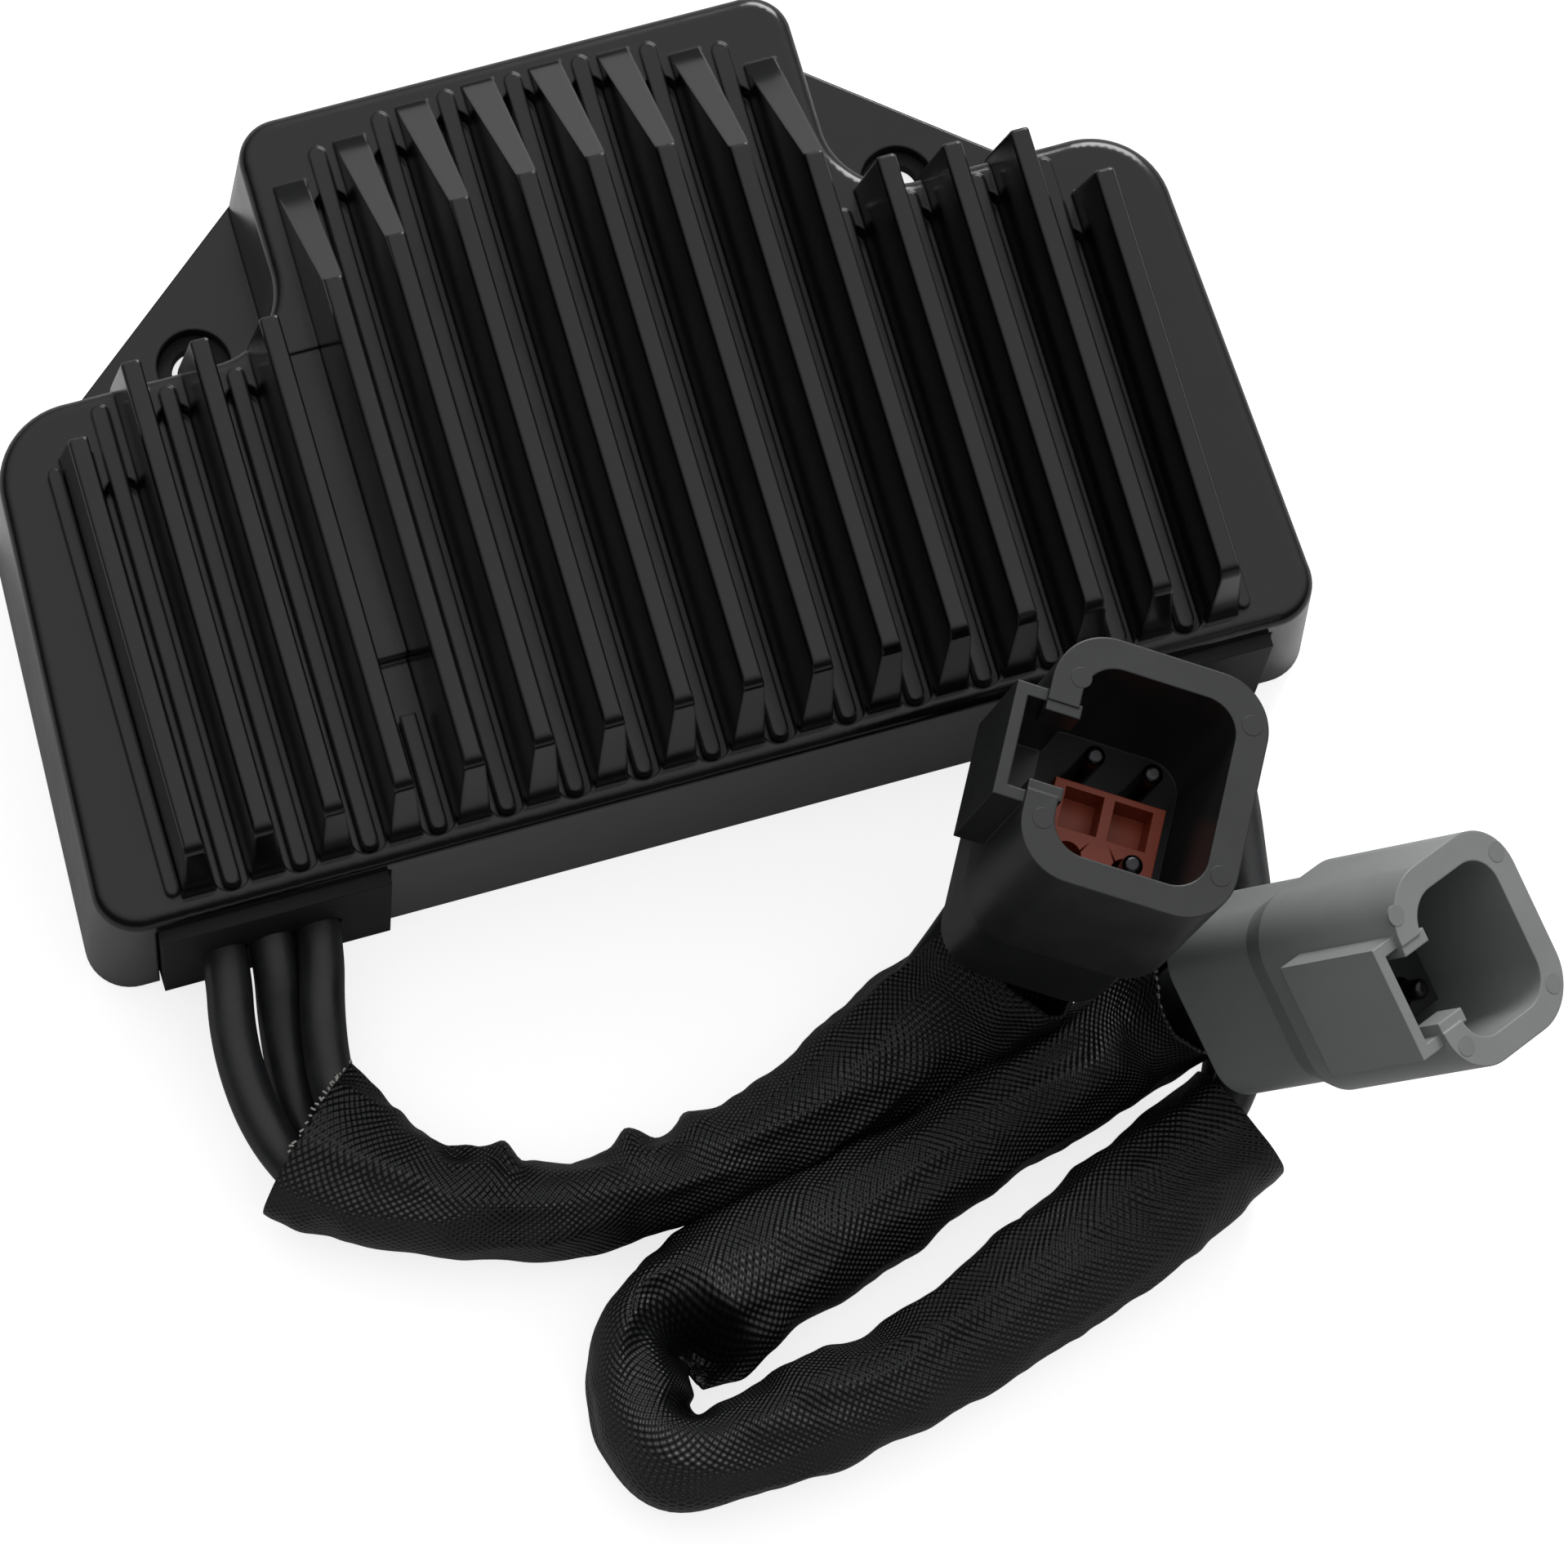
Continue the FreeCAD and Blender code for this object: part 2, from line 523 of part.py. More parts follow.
def tube(label, points, outer, bore=0.0):
    """A round tube along a route, hollow if it has a bore; prints its length, radii and volume."""
    wire, radii = route_wire(points)
    start = Vector(*points[0])
    along = Vector(*points[1]) - start
    solid = wire.makePipeShell([Part.Wire(Part.makeCircle(outer / 2, start, along))], True, False)
    if bore:
        inside = Part.Wire(Part.makeCircle(bore / 2, start, along))
        solid = solid.cut(wire.makePipeShell([inside], True, False))
    plain = math.pi * (outer ** 2 - bore ** 2) / 4 * wire.Length
    print(f"{label}: length {wire.Length:.1f}, volume ratio {solid.Volume / plain:.4f}, radii {radii}")
    return solid


def connector_frame(face, axis, across):
    """A frame at the middle of a connector's face: X across its latch side, Z out of the socket."""
    return FreeCAD.Placement(face, FreeCAD.Rotation(across, axis.cross(across), axis, "ZXY"))


def bar_outline(across, tall, corner, level):
    """A rounded rectangle round the axis of a connector."""
    return rounded_outline([
        (across / 2, -tall / 2, corner), (across / 2, tall / 2, corner),
        (-across / 2, tall / 2, corner), (-across / 2, -tall / 2, corner)], level)


def rounded_bar(across, tall, corner, z_low, z_high):
    """A bar of rounded rectangular section along the axis of a connector."""
    return Part.Face(bar_outline(across, tall, corner, z_low)).extrude(Vector(0, 0, z_high - z_low))


def rear_corner(kind):
    """Corner radius of a connector's rear part."""
    return size("shell_corner") * size(f"{kind}_rear_across") / size(f"{kind}_face_across")


def seal_block(kind, z_low, z_high):
    """The space inside the rear wall of a connector, which its rubber seal fills."""
    inset = size("seal_inset")
    return rounded_bar(size(f"{kind}_rear_across") - 2 * inset, size(f"{kind}_rear_tall") - 2 * inset,
                       rear_corner(kind) - inset, z_low, z_high)


def connector_shell(kind, pins):
    """A connector's moulded shell: socket, latch box with two catches, shoulder and rear part."""
    across = size(f"{kind}_face_across")
    tall = size(f"{kind}_face_tall")
    length = size(f"{kind}_length")
    rear_across = size(f"{kind}_rear_across")
    rear_tall = size(f"{kind}_rear_tall")
    front = -size("front_part_length")
    shoulder = front - size("shoulder_length")
    corner = size("shell_corner")
    shell = rounded_bar(across, tall, corner, front, 0)
    slope = Part.makeLoft([bar_outline(across, tall, corner, front),
                           bar_outline(rear_across, rear_tall, rear_corner(kind), shoulder)], True, True)
    shell = shell.fuse([slope, rounded_bar(rear_across, rear_tall, rear_corner(kind), -length, shoulder)])
    side = -across / 2
    outer = side - size("latch_proud")
    half = size("latch_half")
    wall = size("latch_wall")
    socket_side = -size(f"{kind}_socket_across") / 2
    shell = shell.fuse(block(outer, socket_side, -half, half, -size("latch_length"), -size("latch_setback")))
    shell = shell.cut(rounded_bar(size(f"{kind}_socket_across"), size(f"{kind}_socket_tall"),
                                  size("socket_corner"), -size("socket_depth"), 1))
    shell = shell.cut(block(outer + wall, socket_side + size("latch_overlap"), -half + wall, half - wall,
                            -size("latch_length") + wall, 1))
    for way in (-1, 1):
        low, high = sorted((way * size("catch_gap"), way * (size("catch_gap") + size("catch_thickness"))))
        shell = shell.fuse(block(side, side + size("catch_reach"), low, high,
                                 -size("catch_length"), -size("catch_setback")))
    floor = -size("socket_depth")
    for x, y in pins:
        tail = Vector(x, y, floor - size("pin_tail"))
        shell = shell.cut(Part.makeCylinder(size("pin_diameter") / 2, size("pin_tail"), tail))
    return shell.cut(seal_block(kind, -length - 1, -length + size("seal_depth"))).removeSplitter()


def connector_wedge(kind, pins, windows):
    """The locking wedge on the socket's floor, with its windows and the holes round the pins."""
    gap = size("wedge_side_gap")
    half_across = size(f"{kind}_socket_across") / 2 - gap
    half_tall = size(f"{kind}_socket_tall") / 2 - gap
    floor = -size("socket_depth")
    top = -size("wedge_top")
    wedge = block(-half_across, half_across, -half_tall, half_tall, floor, top)
    bar = size("wedge_bar")
    for way in windows:
        low, high = sorted((way * bar, way * (bar + size("window_width"))))
        wedge = wedge.cut(block(low, high, -size("window_height") / 2, size("window_height") / 2,
                                top - size("window_depth"), top + 1))
    for x, y in pins:
        wedge = wedge.cut(Part.makeCylinder(size("wedge_hole") / 2, top - floor, Vector(x, y, floor)))
    return wedge


def contact_pin(x, y):
    """A contact pin with a rounded tip, from behind the socket's floor into the socket."""
    low = -size("socket_depth") - size("pin_tail")
    tip = -size("pin_tip")
    pin = Part.makeCylinder(size("pin_diameter") / 2, tip - low, Vector(x, y, low))
    ends = [edge for edge in pin.Edges if edge.Closed and abs(edge.Vertexes[0].Z - tip) < 1e-6]
    return pin.makeFillet(size("pin_tip_round"), ends)


def rear_seal(kind, leads, frame):
    """The rubber seal in a connector's rear, less the leads that go into it."""
    length = size(f"{kind}_length")
    seal = seal_block(kind, -length, -length + size("seal_depth"))
    seal.Placement = frame
    for lead in leads:
        seal = seal.cut(lead)
    return seal


def mounting_bush(name, side):
    """A rubber bush pressed into a mounting hole."""
    height = "sizes.ear_thickness - sizes.bush_recess"
    bush = doc.addObject("Part::Cut", name)
    bush.Base = bound("Part::Cylinder", name + "_barrel", Radius="sizes.hole_diameter / 2", Height=height)
    bush.Tool = bound("Part::Cylinder", name + "_bore", Radius="sizes.bush_bore / 2", Height=height)
    bush.setExpression("Placement.Base.x", f"{side} * sizes.hole_spacing / 2")
    bush.setExpression("Placement.Base.y", "sizes.hole_line")
    keep(bush, name)


def electronics():
    """Circuit board, six power devices under the deck, control chip and capacitor."""
    margin = f"({len(FINS) - 0.5} * sizes.fin_pitch + sizes.fin_root / 2 + sizes.back_margin"
    half_width = margin + " - sizes.wall_thickness - sizes.board_side_gap)"
    front = "(sizes.front_line + sizes.wall_thickness + sizes.gland_flange + sizes.board_front_gap)"
    back = "(sizes.wide_back_line - sizes.wall_thickness - sizes.board_back_gap)"
    device_low = "(sizes.wall_height - sizes.deck_plate - sizes.device_thickness)"
    board_low = f"({device_low} - sizes.board_device_gap - sizes.board_thickness)"
    pieces = [keep(bound("Part::Box", "circuit_board", Length=f"2 * {half_width}", Width=f"{back} - {front}",
                         Height="sizes.board_thickness", Placement__Base__x=f"-{half_width}",
                         Placement__Base__y=front, Placement__Base__z=board_low), "circuit_board")]
    for number in range(1, 7):
        name = f"power_device_{number}"
        middle = f"{number - 3.5} * sizes.device_pitch"
        pieces.append(keep(bound("Part::Box", name, Length="sizes.device_width", Width="sizes.device_length",
                                 Height="sizes.device_thickness",
                                 Placement__Base__x=f"{middle} - sizes.device_width / 2",
                                 Placement__Base__y="sizes.device_line - sizes.device_length / 2",
                                 Placement__Base__z=device_low), name))
    pieces.append(keep(bound("Part::Box", "control_chip", Length="sizes.chip_width", Width="sizes.chip_width",
                             Height="sizes.chip_thickness", Placement__Base__x="-sizes.chip_width / 2",
                             Placement__Base__y="sizes.device_line - sizes.chip_width / 2",
                             Placement__Base__z=f"{board_low} - sizes.chip_thickness"), "control_chip"))
    pieces.append(keep(bound("Part::Cylinder", "smoothing_capacitor", Radius="sizes.capacitor_diameter / 2",
                             Height="sizes.capacitor_length", Placement__Base__x="sizes.capacitor_place",
                             Placement__Base__y="sizes.device_line",
                             Placement__Base__z=f"{board_low} - sizes.capacitor_length"),
                       "smoothing_capacitor"))
    return pieces


def lead_terminals(board_low):
    """A blade from the underside of the board to the end of each lead, one group of five."""
    half = size("terminal_width") / 2
    low = size("cable_height") - size("terminal_overlap")
    return [block(points[0][0] - half, points[0][0] + half, points[0][1],
                  points[0][1] + size("terminal_length"), low, board_low)
            for points in STATOR_LEADS + OUTPUT_LEADS]


cavity = cavity_space()
shaped("heatsink_body", housing_casting(cavity))
mounting_bush("mounting_bush_left", -1)
mounting_bush("mounting_bush_right", 1)

leads = {}
for kind, routes in (("stator", STATOR_LEADS), ("output", OUTPUT_LEADS)):
    leads[kind] = []
    for number, points in enumerate(routes, start=1):
        name = f"{kind}_cable_{number}"
        leads[kind].append(shaped(name, tube(name, points, size("cable_diameter"))).Shape)
sleeve_bore = size("sleeve_outer") - 2 * size("sleeve_wall")
shaped("stator_sleeve", tube("stator_sleeve", STATOR_SLEEVE, size("sleeve_outer"), sleeve_bore))
shaped("output_sleeve", tube("output_sleeve", OUTPUT_SLEEVE, size("sleeve_outer"), sleeve_bore))
glands = [shaped("gland_left", gland(-1, leads["stator"], cavity)),
          shaped("gland_right", gland(1, leads["output"], cavity))]

row = size("pin_row") / 2
column = size("pin_column") / 2
places = {"stator": [(-column, row), (column, row), (column, -row)], "output": [(0.0, column), (0.0, -column)]}
frames = {"stator": connector_frame(STATOR_FACE, STATOR_AXIS, STATOR_ACROSS),
          "output": connector_frame(OUTPUT_FACE, OUTPUT_AXIS, OUTPUT_ACROSS)}
wedge_holes = {"stator": places["stator"] + [(-column, -row)], "output": places["output"]}
wedge_windows = {"stator": (-1, 1), "output": ()}
for kind, frame in frames.items():
    shaped(f"{kind}_connector_shell", connector_shell(kind, places[kind]), frame)
    shaped(f"{kind}_connector_wedge", connector_wedge(kind, wedge_holes[kind], wedge_windows[kind]), frame)
    shaped(f"{kind}_connector_seal", rear_seal(kind, leads[kind], frame))
    for number, (x, y) in enumerate(places[kind], start=1):
        shaped(f"{kind}_pin_{number}", contact_pin(x, y), frame)

inner_pieces = electronics()
doc.recompute()
blades = lead_terminals(inner_pieces[0].Shape.BoundBox.ZMin)
shaped("board_terminals", Part.makeCompound(blades))
ceiling = size("wall_height") - size("deck_plate")
reach = 2 * cavity.BoundBox.DiagonalLength
potting = cavity.common(block(-reach, reach, -reach, reach, size("potting_recess"), ceiling))
fillers = [piece.Shape for piece in glands + inner_pieces] + leads["stator"] + leads["output"] + blades
for filler in fillers:
    potting = potting.cut(filler)
shaped("potting_fill", potting)

doc.recompute()
faults = [item.Name for item in doc.Objects if {"Invalid", "Error"} & set(item.State)]
faults += [piece.Label for piece in SUB_PARTS if piece.Shape.isNull() or not piece.Shape.isValid()]
if faults:
    raise SystemExit("these did not build: " + ", ".join(faults))
os.makedirs("parts", exist_ok=True)
for piece in SUB_PARTS:
    piece.Shape.exportStep(f"parts/{piece.Label}.step")
    print(f"{piece.Label}: {len(piece.Shape.Solids)} solid, volume {piece.Shape.Volume:.0f}")
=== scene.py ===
"""A finned voltage regulator rectifier with its two leads, dressed for its photograph.

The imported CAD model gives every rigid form. The five leads and the two woven sleeves are made
here, as soft things that follow their own lines.
"""
import bpy
import math
import random
from mathutils import Matrix, Vector, noise


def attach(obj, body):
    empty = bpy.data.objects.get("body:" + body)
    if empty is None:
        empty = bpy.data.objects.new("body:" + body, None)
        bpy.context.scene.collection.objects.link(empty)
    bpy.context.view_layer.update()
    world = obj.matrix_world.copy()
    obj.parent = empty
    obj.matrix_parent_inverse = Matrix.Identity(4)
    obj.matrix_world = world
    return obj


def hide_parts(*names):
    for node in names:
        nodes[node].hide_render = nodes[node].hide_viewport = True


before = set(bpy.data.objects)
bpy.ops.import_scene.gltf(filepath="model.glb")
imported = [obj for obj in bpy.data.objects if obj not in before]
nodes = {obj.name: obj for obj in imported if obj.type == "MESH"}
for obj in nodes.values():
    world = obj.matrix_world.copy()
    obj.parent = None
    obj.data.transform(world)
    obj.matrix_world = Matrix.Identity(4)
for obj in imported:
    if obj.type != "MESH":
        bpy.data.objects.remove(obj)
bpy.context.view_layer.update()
MM = 0.001


def deselect_all():
    """Nothing is selected and nothing is active."""
    for thing in bpy.context.selected_objects:
        thing.select_set(False)
    bpy.context.view_layer.objects.active = None


def select_only(thing):
    """This object alone is selected and active, for the next operator."""
    deselect_all()
    thing.select_set(True)
    bpy.context.view_layer.objects.active = thing


# Finishes, from here to the table of slots

def tint(code):
    """A colour written as sRGB hex, turned to linear."""
    channels = [int(code[i:i + 2], 16) / 255 for i in (1, 3, 5)]
    return [c / 12.92 if c <= 0.04045 else ((c + 0.055) / 1.055) ** 2.4 for c in channels] + [1.0]


def add_node(tree, kind, settings=None, inputs=None):
    """Adds a node with its settings; an input is a number, a colour or another node's output."""
    made = tree.nodes.new(kind)
    for name, value in (settings or {}).items():
        setattr(made, name, value)
    for name, value in (inputs or {}).items():
        if isinstance(value, bpy.types.NodeSocket):
            tree.links.new(value, made.inputs[name])
        else:
            made.inputs[name].default_value = value
    return made


def finish_of(name, base, rough, **sockets):
    """A material with one surface shader, ready for its pattern nodes."""
    made = bpy.data.materials.new(name)
    made.use_nodes = True
    tree = made.node_tree
    tree.nodes.clear()
    looks = {"Base Color": tint(base), "Roughness": rough, **sockets}
    shader = add_node(tree, "ShaderNodeBsdfPrincipled", {}, looks)
    add_node(tree, "ShaderNodeOutputMaterial", {}, {"Surface": shader.outputs["BSDF"]})
    return made, tree, shader


def mottled(tree, shader, dark, light, size_mm):
    """Slow colour variation between two shades, with patches of a real size."""
    coords = add_node(tree, "ShaderNodeTexCoord").outputs["Object"]
    patches = {"Vector": coords, "Scale": 1 / (size_mm * MM), "Detail": 4.0, "Roughness": 0.6}
    cloud = add_node(tree, "ShaderNodeTexNoise", {}, patches)
    blend_shades(tree, shader, cloud.outputs["Fac"], dark, light)
    return coords, cloud


def blend_shades(tree, shader, share, dark, light):
    """The base colour goes from dark to light with the share."""
    shades = {0: share, 6: tint(dark), 7: tint(light)}
    blend = add_node(tree, "ShaderNodeMix", {"data_type": "RGBA"}, shades)
    tree.links.new(blend.outputs[2], shader.inputs["Base Color"])


def grain(tree, shader, coords, size_mm, height_mm, strength, edge_mm=0.0):
    """Fine unevenness of the surface, over edges that are rounded by edge_mm."""
    specks = {"Vector": coords, "Scale": 1 / (size_mm * MM), "Detail": 2.0}
    speckle = add_node(tree, "ShaderNodeTexNoise", {}, specks)
    inputs = {"Height": speckle.outputs["Fac"], "Distance": height_mm * MM, "Strength": strength}
    if edge_mm:
        edge = add_node(tree, "ShaderNodeBevel", {"samples": 6}, {"Radius": edge_mm * MM})
        inputs["Normal"] = edge.outputs["Normal"]
    bump = add_node(tree, "ShaderNodeBump", {}, inputs)
    tree.links.new(bump.outputs["Normal"], shader.inputs["Normal"])


def varied_roughness(tree, shader, cloud, low, high):
    """Roughness that wanders with the same slow patches as the colour."""
    spread = remap(tree, cloud.outputs["Fac"], 0.3, 0.7, low, high)
    tree.links.new(spread, shader.inputs["Roughness"])


def remap(tree, value, from_low, from_high, to_low, to_high, curve="LINEAR"):
    """The value, carried over from one range to another."""
    ends = {"Value": value, "From Min": from_low, "From Max": from_high, "To Min": to_low, "To Max": to_high}
    return add_node(tree, "ShaderNodeMapRange", {"interpolation_type": curve}, ends).outputs["Result"]


def figure(tree, operation, first, second=None):
    """The result of one operation on two values, or on one."""
    terms = {0: first} if second is None else {0: first, 1: second}
    return add_node(tree, "ShaderNodeMath", {"operation": operation}, terms).outputs[0]


def black_paint_on_die_casting():
    """Die-cast aluminium under a thin black paint: fine orange peel, and edges that the paint has
    drawn round, so that they catch the light."""
    made, tree, shader = finish_of("black_paint_on_die_casting", "#060707", 0.2)
    coords, cloud = mottled(tree, shader, "#040505", "#090a0a", 14.0)
    varied_roughness(tree, shader, cloud, 0.13, 0.21)
    grain(tree, shader, coords, 0.8, 0.02, 0.25, edge_mm=0.6)
    return made


def moulded_plastic(name, dark, light, rough, edge_mm=0.35):
    """Glass-filled nylon from a spark-eroded mould: satin, with a fine even grain and soft
    flow marks."""
    made, tree, shader = finish_of(name, dark, rough)
    coords, cloud = mottled(tree, shader, dark, light, 9.0)
    varied_roughness(tree, shader, cloud, rough - 0.04, rough + 0.05)
    grain(tree, shader, coords, 0.3, 0.02, 0.3, edge_mm)
    return made


def rubber(name, dark, light, rough):
    """Moulded silicone or synthetic rubber: dull, with faint dust in its pores."""
    made, tree, shader = finish_of(name, dark, rough, **{"Specular IOR Level": 0.35})
    coords, _ = mottled(tree, shader, dark, light, 3.0)
    grain(tree, shader, coords, 0.6, 0.05, 0.4, edge_mm=0.4)
    return made


def cable_jacket():
    """Extruded cross-linked jacket of the leads: satin black, with slow waves from the extruder and
    rub marks from handling."""
    made, tree, shader = finish_of("extruded_cable_jacket", "#1a1b1d", 0.36)
    coords, cloud = mottled(tree, shader, "#17181a", "#2e2f31", 5.0)
    varied_roughness(tree, shader, cloud, 0.3, 0.46)
    grain(tree, shader, coords, 1.6, 0.12, 0.35)
    return made


# The cloth of the sleeves in millimetres: from yarn to yarn, how high a yarn's crown stands, and
# how large the patches are over which the painted highlight on the crowns grows and fades
YARN_PITCH = 1.15
YARN_RISE = 0.3
HIGHLIGHT_PATCH = 1000 / 120


def woven_sleeve():
    """Basket weave of black polyester yarn, 1.15 mm from yarn to yarn. The crowns of the yarn
    are painted lighter as a painted highlight, and the holes between them darker as painted shade;
    the highlight is stronger in some patches than in others. It follows the cloth's own lengthways
    and crossways directions."""
    made, tree, shader = finish_of("woven_polyester_sleeve", "#0b0c0d", 0.4)
    place = add_node(tree, "ShaderNodeUVMap", {"uv_map": "weave"})
    split = add_node(tree, "ShaderNodeSeparateXYZ", {}, {"Vector": place.outputs["UV"]})
    wave = 2 * math.pi / (YARN_PITCH * MM)
    swing = []
    for axis in ("X", "Y"):
        turn = figure(tree, "MULTIPLY", split.outputs[axis], wave)
        swing.append(figure(tree, "COSINE", turn))
    crowns = figure(tree, "MULTIPLY", swing[0], swing[1])
    height = remap(tree, crowns, -1.0, 1.0, 0.0, 1.0)
    coords = add_node(tree, "ShaderNodeTexCoord").outputs["Object"]
    patches = {"Vector": coords, "Scale": 1 / (HIGHLIGHT_PATCH * MM), "Detail": 5.0}
    highlight_patches = add_node(tree, "ShaderNodeTexNoise", {}, patches)
    highlight_strength = remap(tree, highlight_patches.outputs["Fac"], 0.35, 0.7, 0.45, 1.0)
    # painted highlight on the yarn crowns and painted shade in the holes between them, stronger in random
    # patches
    blend_shades(tree, shader, figure(tree, "MULTIPLY", height, highlight_strength), "#030404", "#151617")
    relief = {"Height": height, "Distance": YARN_RISE * MM, "Strength": 1.0}
    bump = add_node(tree, "ShaderNodeBump", {}, relief)
    tree.links.new(bump.outputs["Normal"], shader.inputs["Normal"])
    return made


def plated_metal(name, base, shine, rough):
    """Plated copper alloy: a little brushed by the tool that formed it."""
    made, tree, shader = finish_of(name, base, rough, Metallic=1.0)
    coords, _ = mottled(tree, shader, base, shine, 2.0)
    grain(tree, shader, coords, 0.25, 0.01, 0.3)
    return made


CASTING = black_paint_on_die_casting()
JACKET = cable_jacket()
WEAVE = woven_sleeve()
GLAND_RUBBER = rubber("moulded_black_rubber", "#151617", "#1d1e1f", 0.62)
SEAL_RUBBER = rubber("grey_silicone_seal", "#4a4c4d", "#5a5c5c", 0.55)
BLACK_NYLON = moulded_plastic("black_glass_filled_nylon", "#1b1c1d", "#262728", 0.36)
GREY_NYLON = moulded_plastic("grey_glass_filled_nylon", "#808282", "#8c8e8e", 0.4)
YARN_ENDS = rubber("cut_polyester_yarn_ends", "#a9a9a4", "#d2d2cc", 0.7)
BLACK_WITNESS = moulded_plastic("black_nylon_witness_mark", "#17181a", "#202122", 0.44, 0.0)
GREY_WITNESS = moulded_plastic("grey_nylon_witness_mark", "#777979", "#828484", 0.46, 0.0)
# partly painted shade: the lock's own orange is darkened further for the shade inside its socket
ORANGE_NYLON = moulded_plastic("orange_nylon_lock", "#863014", "#983c1d", 0.42, 0.2)
# painted shade: the contacts' dark base colour stands for the shade deep inside their sockets
PIN_PLATE = plated_metal("nickel_plated_contact", "#2c2c2e", "#454547", 0.24)
TERMINAL_PLATE = plated_metal("tinned_copper_terminal", "#b9b4aa", "#d9d6cf", 0.4)
LAMINATE = moulded_plastic("green_board_laminate", "#1f4a33", "#27563c", 0.45, 0.1)
EPOXY = moulded_plastic("black_epoxy_package", "#1a1a1b", "#232324", 0.55, 0.15)
POTTING = rubber("black_potting_resin", "#1b1c1e", "#232426", 0.4)

FINISH_OF_SLOT = {
    "cast_housing": CASTING,
    "rubber_black": GLAND_RUBBER,
    "cable_jacket": JACKET,
    "woven_sleeve": WEAVE,
    "connector_black": BLACK_NYLON,
    "connector_grey": GREY_NYLON,
    "wedge_orange": ORANGE_NYLON,
    "seal_rubber": SEAL_RUBBER,
    "pin_metal": PIN_PLATE,
    "board_laminate": LAMINATE,
    "device_epoxy": EPOXY,
    "terminal_metal": TERMINAL_PLATE,
    "potting_resin": POTTING,
}

# Camera: its azimuth, elevation and roll in degrees, where it stands in metres, and its lens and
# film in millimetres
CAMERA_TURN = (-27.403, 74.856, 11.486)
CAMERA_PLACE = (-0.14118, -0.34643, 1.23590)
LENS_LENGTH = 203.5
FILM_WIDTH = 36.0


def photograph_camera():
    """The camera of the photograph: high over the front left corner, with a long lens."""
    azimuth, elevation, roll = (math.radians(angle) for angle in CAMERA_TURN)
    flat = math.cos(elevation)
    back = Vector((math.sin(azimuth) * flat, -math.cos(azimuth) * flat, math.sin(elevation)))
    level = Vector((math.cos(azimuth), math.sin(azimuth), 0.0))
    up = back.cross(level)
    right = level * math.cos(roll) + up * math.sin(roll)
    top = up * math.cos(roll) - level * math.sin(roll)
    lens = bpy.data.cameras.new("photograph")
    lens.sensor_fit = "HORIZONTAL"
    lens.sensor_width = FILM_WIDTH
    lens.lens = LENS_LENGTH
    lens.clip_end = 20.0
    camera = bpy.data.objects.new("photograph", lens)
    turned = Matrix((right, top, back)).transposed().to_4x4()
    turned.translation = Vector(CAMERA_PLACE)
    camera.matrix_world = turned
    bpy.context.scene.collection.objects.link(camera)
    bpy.context.scene.camera = camera


photograph_camera()

# Finishes of the pieces that the CAD model gives

def dress_cad_nodes():
    """Each CAD node gets the finish of its slot; the wedge of the grey connector gets black nylon as painted
    shade, for the dark deep inside its socket.
    """
    for name, thing in nodes.items():
        for place in thing.material_slots:
            key = place.material.name.split(".")[0] if place.material else ""
            # painted shade: the grey connector's wedge is made black to stand for the dark inside its socket
            if name == "output_connector_wedge":
                place.material = BLACK_NYLON
            elif key in FINISH_OF_SLOT:
                place.material = FINISH_OF_SLOT[key]
            else:
                print("no finish for", name, key)


dress_cad_nodes()

# Connectors

def connector_place(face, axis, across):
    """The frame at the middle of a connector's face: X across its latch side, Z out of it."""
    out = Vector(axis).normalized()
    side = Vector(across).normalized()
    turned = Matrix((side, out.cross(side), out)).transposed().to_4x4()
    turned.translation = Vector(face)
    return turned


STATOR_PLACE = connector_place(
    face=(0.0502, -0.0820, 0.0780), axis=(0.2215, 0.009, 0.9751), across=(0.8453, -0.5004, -0.1874))
OUTPUT_PLACE = connector_place(
    face=(0.0894, -0.1145, 0.0650), axis=(0.5322, -0.2209, 0.8173), across=(0.8209, 0.3709, -0.4343))

# Millimetres: how far the orange lock reaches from the middle of its socket, then the radius,
# thickness, middle and rounded edge of an ejector's disc, whose top stands 0.06 proud of the face,
# and where the discs lie on the two faces
LOCK_REACH = 3.9
MARK_RADIUS = 1.5
MARK_DEPTH = 0.5
MARK_CENTRE = -0.19
MARK_EDGE = 0.04
STATOR_MARKS = [(13.0, 12.0), (13.2, -10.6), (-11.7, 11.1), (-12.6, -10.3)]
OUTPUT_MARKS = [(10.4, 9.7), (9.5, -10.4), (-11.0, 10.8), (-9.7, -10.0)]


def merged_copy(name, node):
    """A copy of a CAD node's mesh with its loose triangles joined."""
    thing = bpy.data.objects.new(name, nodes[node].data.copy())
    bpy.context.scene.collection.objects.link(thing)
    select_only(thing)
    bpy.ops.object.mode_set(mode="EDIT")
    bpy.ops.mesh.select_all(action="SELECT")
    bpy.ops.mesh.remove_doubles(threshold=0.00001)
    bpy.ops.object.mode_set(mode="OBJECT")
    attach(thing, "root")
    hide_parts(node)
    return thing


def short_wedge():
    """The orange lock of the black connector, which leaves the two far pins in the open."""
    thing = merged_copy("stator_wedge_lock", "stator_connector_wedge")
    bpy.ops.object.mode_set(mode="EDIT")
    bpy.ops.mesh.select_all(action="SELECT")
    aside = STATOR_PLACE.to_3x3().col[1]
    end = STATOR_PLACE @ Vector((0, LOCK_REACH * MM, 0))
    bpy.ops.mesh.bisect(plane_co=end, plane_no=aside, use_fill=True, clear_outer=True)
    bpy.ops.object.mode_set(mode="OBJECT")
    return thing


